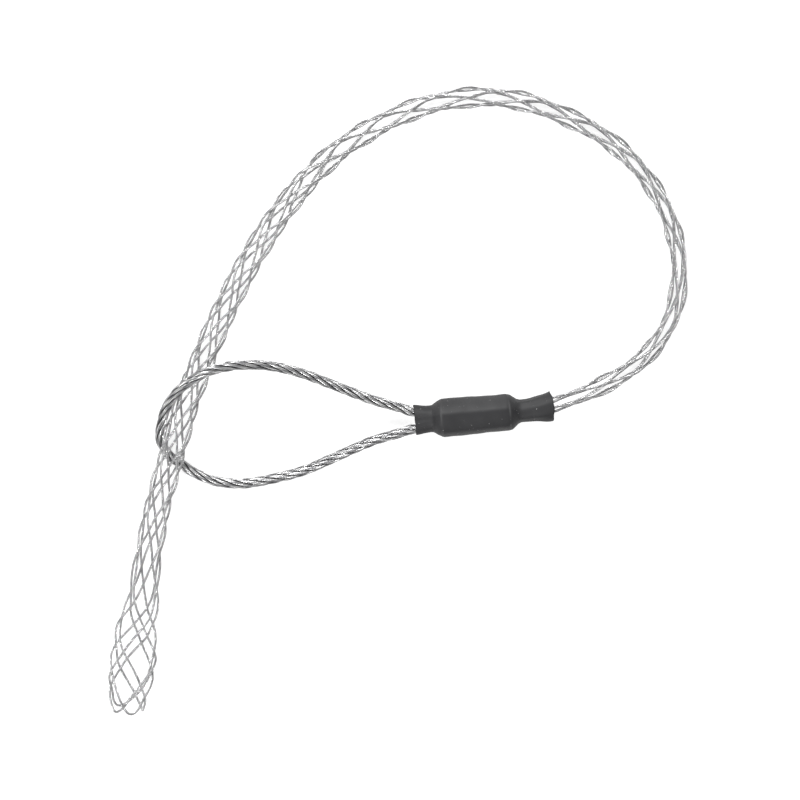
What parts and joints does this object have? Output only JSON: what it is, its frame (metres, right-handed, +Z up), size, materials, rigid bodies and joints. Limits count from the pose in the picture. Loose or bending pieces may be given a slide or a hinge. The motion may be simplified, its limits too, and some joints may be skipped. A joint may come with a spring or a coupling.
{
  "type": "cable pulling grip",
  "caption": "Woven wire mesh grip that tightens on a cable end, with a wire rope pulling eye joined to it by a covered crimp.",
  "frame": {"origin": "on the surface that the grip lies on, under the middle of its overall box", "axes": "+Z up, +Y from the open tail towards the bow of the mesh, +X from the eye towards the covered ferrule"},
  "size_m": [0.2318, 0.2514, 0.0193],
  "materials": {
    "galvanised_wire": "bright galvanised, twisted from fine wires",
    "eye_rope_steel": "galvanised wire rope, greyer in its lays",
    "ferrule_aluminium": "pressed, satin",
    "heat_shrink": "black heat-shrink tube, matte"
  },
  "bodies": {
    "root": {"mesh_wire_1": "galvanised_wire", "mesh_wire_2": "galvanised_wire", "mesh_wire_3": "galvanised_wire", "mesh_wire_4": "galvanised_wire", "eye_strand_1": "eye_rope_steel", "eye_strand_2": "eye_rope_steel", "eye_strand_3": "eye_rope_steel", "eye_strand_4": "eye_rope_steel", "eye_strand_5": "eye_rope_steel", "eye_strand_6": "eye_rope_steel", "eye_core": "eye_rope_steel", "crimp_ferrule": "ferrule_aluminium", "heat_shrink_sleeve": "heat_shrink"}
  },
  "joints": []
}
